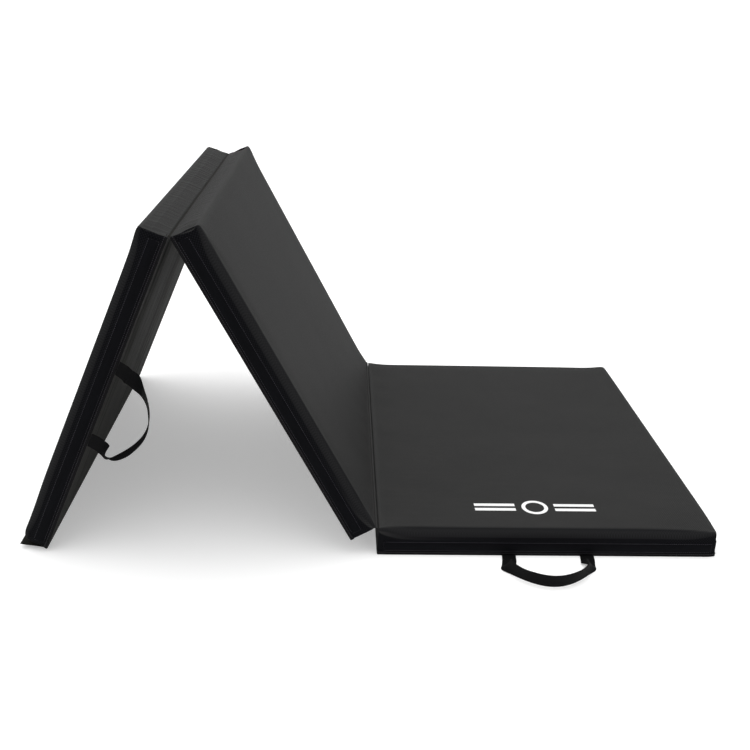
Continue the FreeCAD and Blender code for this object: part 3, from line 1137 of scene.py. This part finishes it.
for panel, shape in SHAPES.items():
    body = f"panel_{panel}"
    cover = padded_cover(shape)
    ride_and_replace(cover, body, "cover_vinyl", f"top_cover_{panel}")
    slab = foam_slab(shape)
    ride_and_replace(slab, body, "foam", f"foam_core_{panel}")
    sheet = base_sheet(shape)
    ride_and_replace(sheet, body, "base_vinyl", f"base_sheet_{panel}")
    ride_and_replace(hem_stitching(shape), body, "thread")
    length = tape_high.x - tape_low.x
    for side, kind, material, slot in TAPES:
        origin = Vector((side * length / 2, side * HALF_W, tape_low.z))
        sewn_tape(kind, panel, length, origin, X * -side, Y * side, material, slot)

end_low, end_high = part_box("end_loop_tape_3")
origin = Vector((HALF_L, end_low.y, end_low.z))
sewn_tape("end_loop", 3, end_high.y - end_low.y, origin, Y, X, LOOP, "loop_tape")

seam_y = -HALF_W
route_3 = strap_stations(lean=-8 * MM, reach=STRAP_REACH, root=0.9 * MM, lift=1.0 * MM)
strap_3 = handle("handle_3_strap", route_3, Vector((0, seam_y, 0)), X, -Y, Z)
ride_and_replace(strap_3, "handle_3", "webbing", "handle_strap_3")
turned = REST[1].to_3x3()
# Pushed to one side, this strap reaches less far.
route_1 = strap_stations(lean=12 * MM, reach=0.82 * STRAP_REACH, root=0.3 * MM, lift=3.0 * MM)
seam_1 = REST[1] @ Vector((0, seam_y, 0))
strap_1 = handle("handle_1_strap", route_1, seam_1, turned @ -X, turned @ -Z, turned @ -Y)
ride_and_replace(strap_1, "handle_1", "webbing", "handle_strap_1")

for right_panel, z_edge, inward, material, slot in FOLDS:
    left_panel = right_panel - 1
    name = f"{left_panel}_{right_panel}"
    strip = hinge_strip(f"fold_strip_{name}", right_panel, z_edge, inward, material)
    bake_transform(strip)
    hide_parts(f"hinge_web_{name}")

flap = end_flap()
ride_and_replace(flap, "end_flap", "base_vinyl", "end_flap")
hooks = flap_tape()
ride_and_replace(hooks, "end_flap", "hook_tape", "end_flap_hook_tape")

mark = printed_mark(bpy.data.objects["cover_3"])
ride_and_replace(mark, "panel_3", "print_ink")


# ---------------------------------------------------------------- studio

def make_studio():
    paint = studio_white("floor_paint", 0.34)
    floor_corners = [(-30, -30, 0), (30, -30, 0), (30, 60, 0), (-30, 60, 0)]
    floor = make_mesh("floor", floor_corners, [(0, 1, 2, 3)], [paint])
    world = bpy.data.worlds.new("studio")
    world.use_nodes = True
    tree = world.node_tree
    place = tree.nodes.new("ShaderNodeTexCoord")
    split = tree.nodes.new("ShaderNodeSeparateXYZ")
    height = tree.nodes.new("ShaderNodeMapRange")
    for socket, value in (("From Min", 0.05), ("From Max", 0.9), ("To Min", 0.45), ("To Max", 1.15)):
        height.inputs[socket].default_value = value
    tree.links.new(place.outputs["Generated"], split.inputs[0])
    tree.links.new(split.outputs[2], height.inputs["Value"])
    tree.links.new(height.outputs[0], tree.nodes["Background"].inputs["Strength"])
    tree.nodes["Background"].inputs["Color"].default_value = (1, 1, 1, 1)
    bpy.context.scene.world = world
    wall = make_mesh("backdrop", [(-60, 60, -1), (60, 60, -1), (60, 60, 12), (-60, 60, 12)], [(0, 1, 2, 3)],
                     [studio_white("backdrop_paint", 1.0)])

    def softbox(name, place, target, size, power):
        data = bpy.data.lights.new(name, "AREA")
        data.shape = "RECTANGLE"
        data.size, data.size_y = size
        data.energy = power
        light = bpy.data.objects.new(name, data)
        facing = (Vector(target) - Vector(place)).to_track_quat("-Z", "Y")
        light.matrix_world = Matrix.Translation(place) @ facing.to_matrix().to_4x4()
        bpy.context.scene.collection.objects.link(light)

    softbox("top_light", (-0.7, 0.3, 3.4), (-0.3, 0, 0), (4.0, 4.0), 60)
    bpy.context.scene.view_settings.view_transform = "Standard"


make_studio()
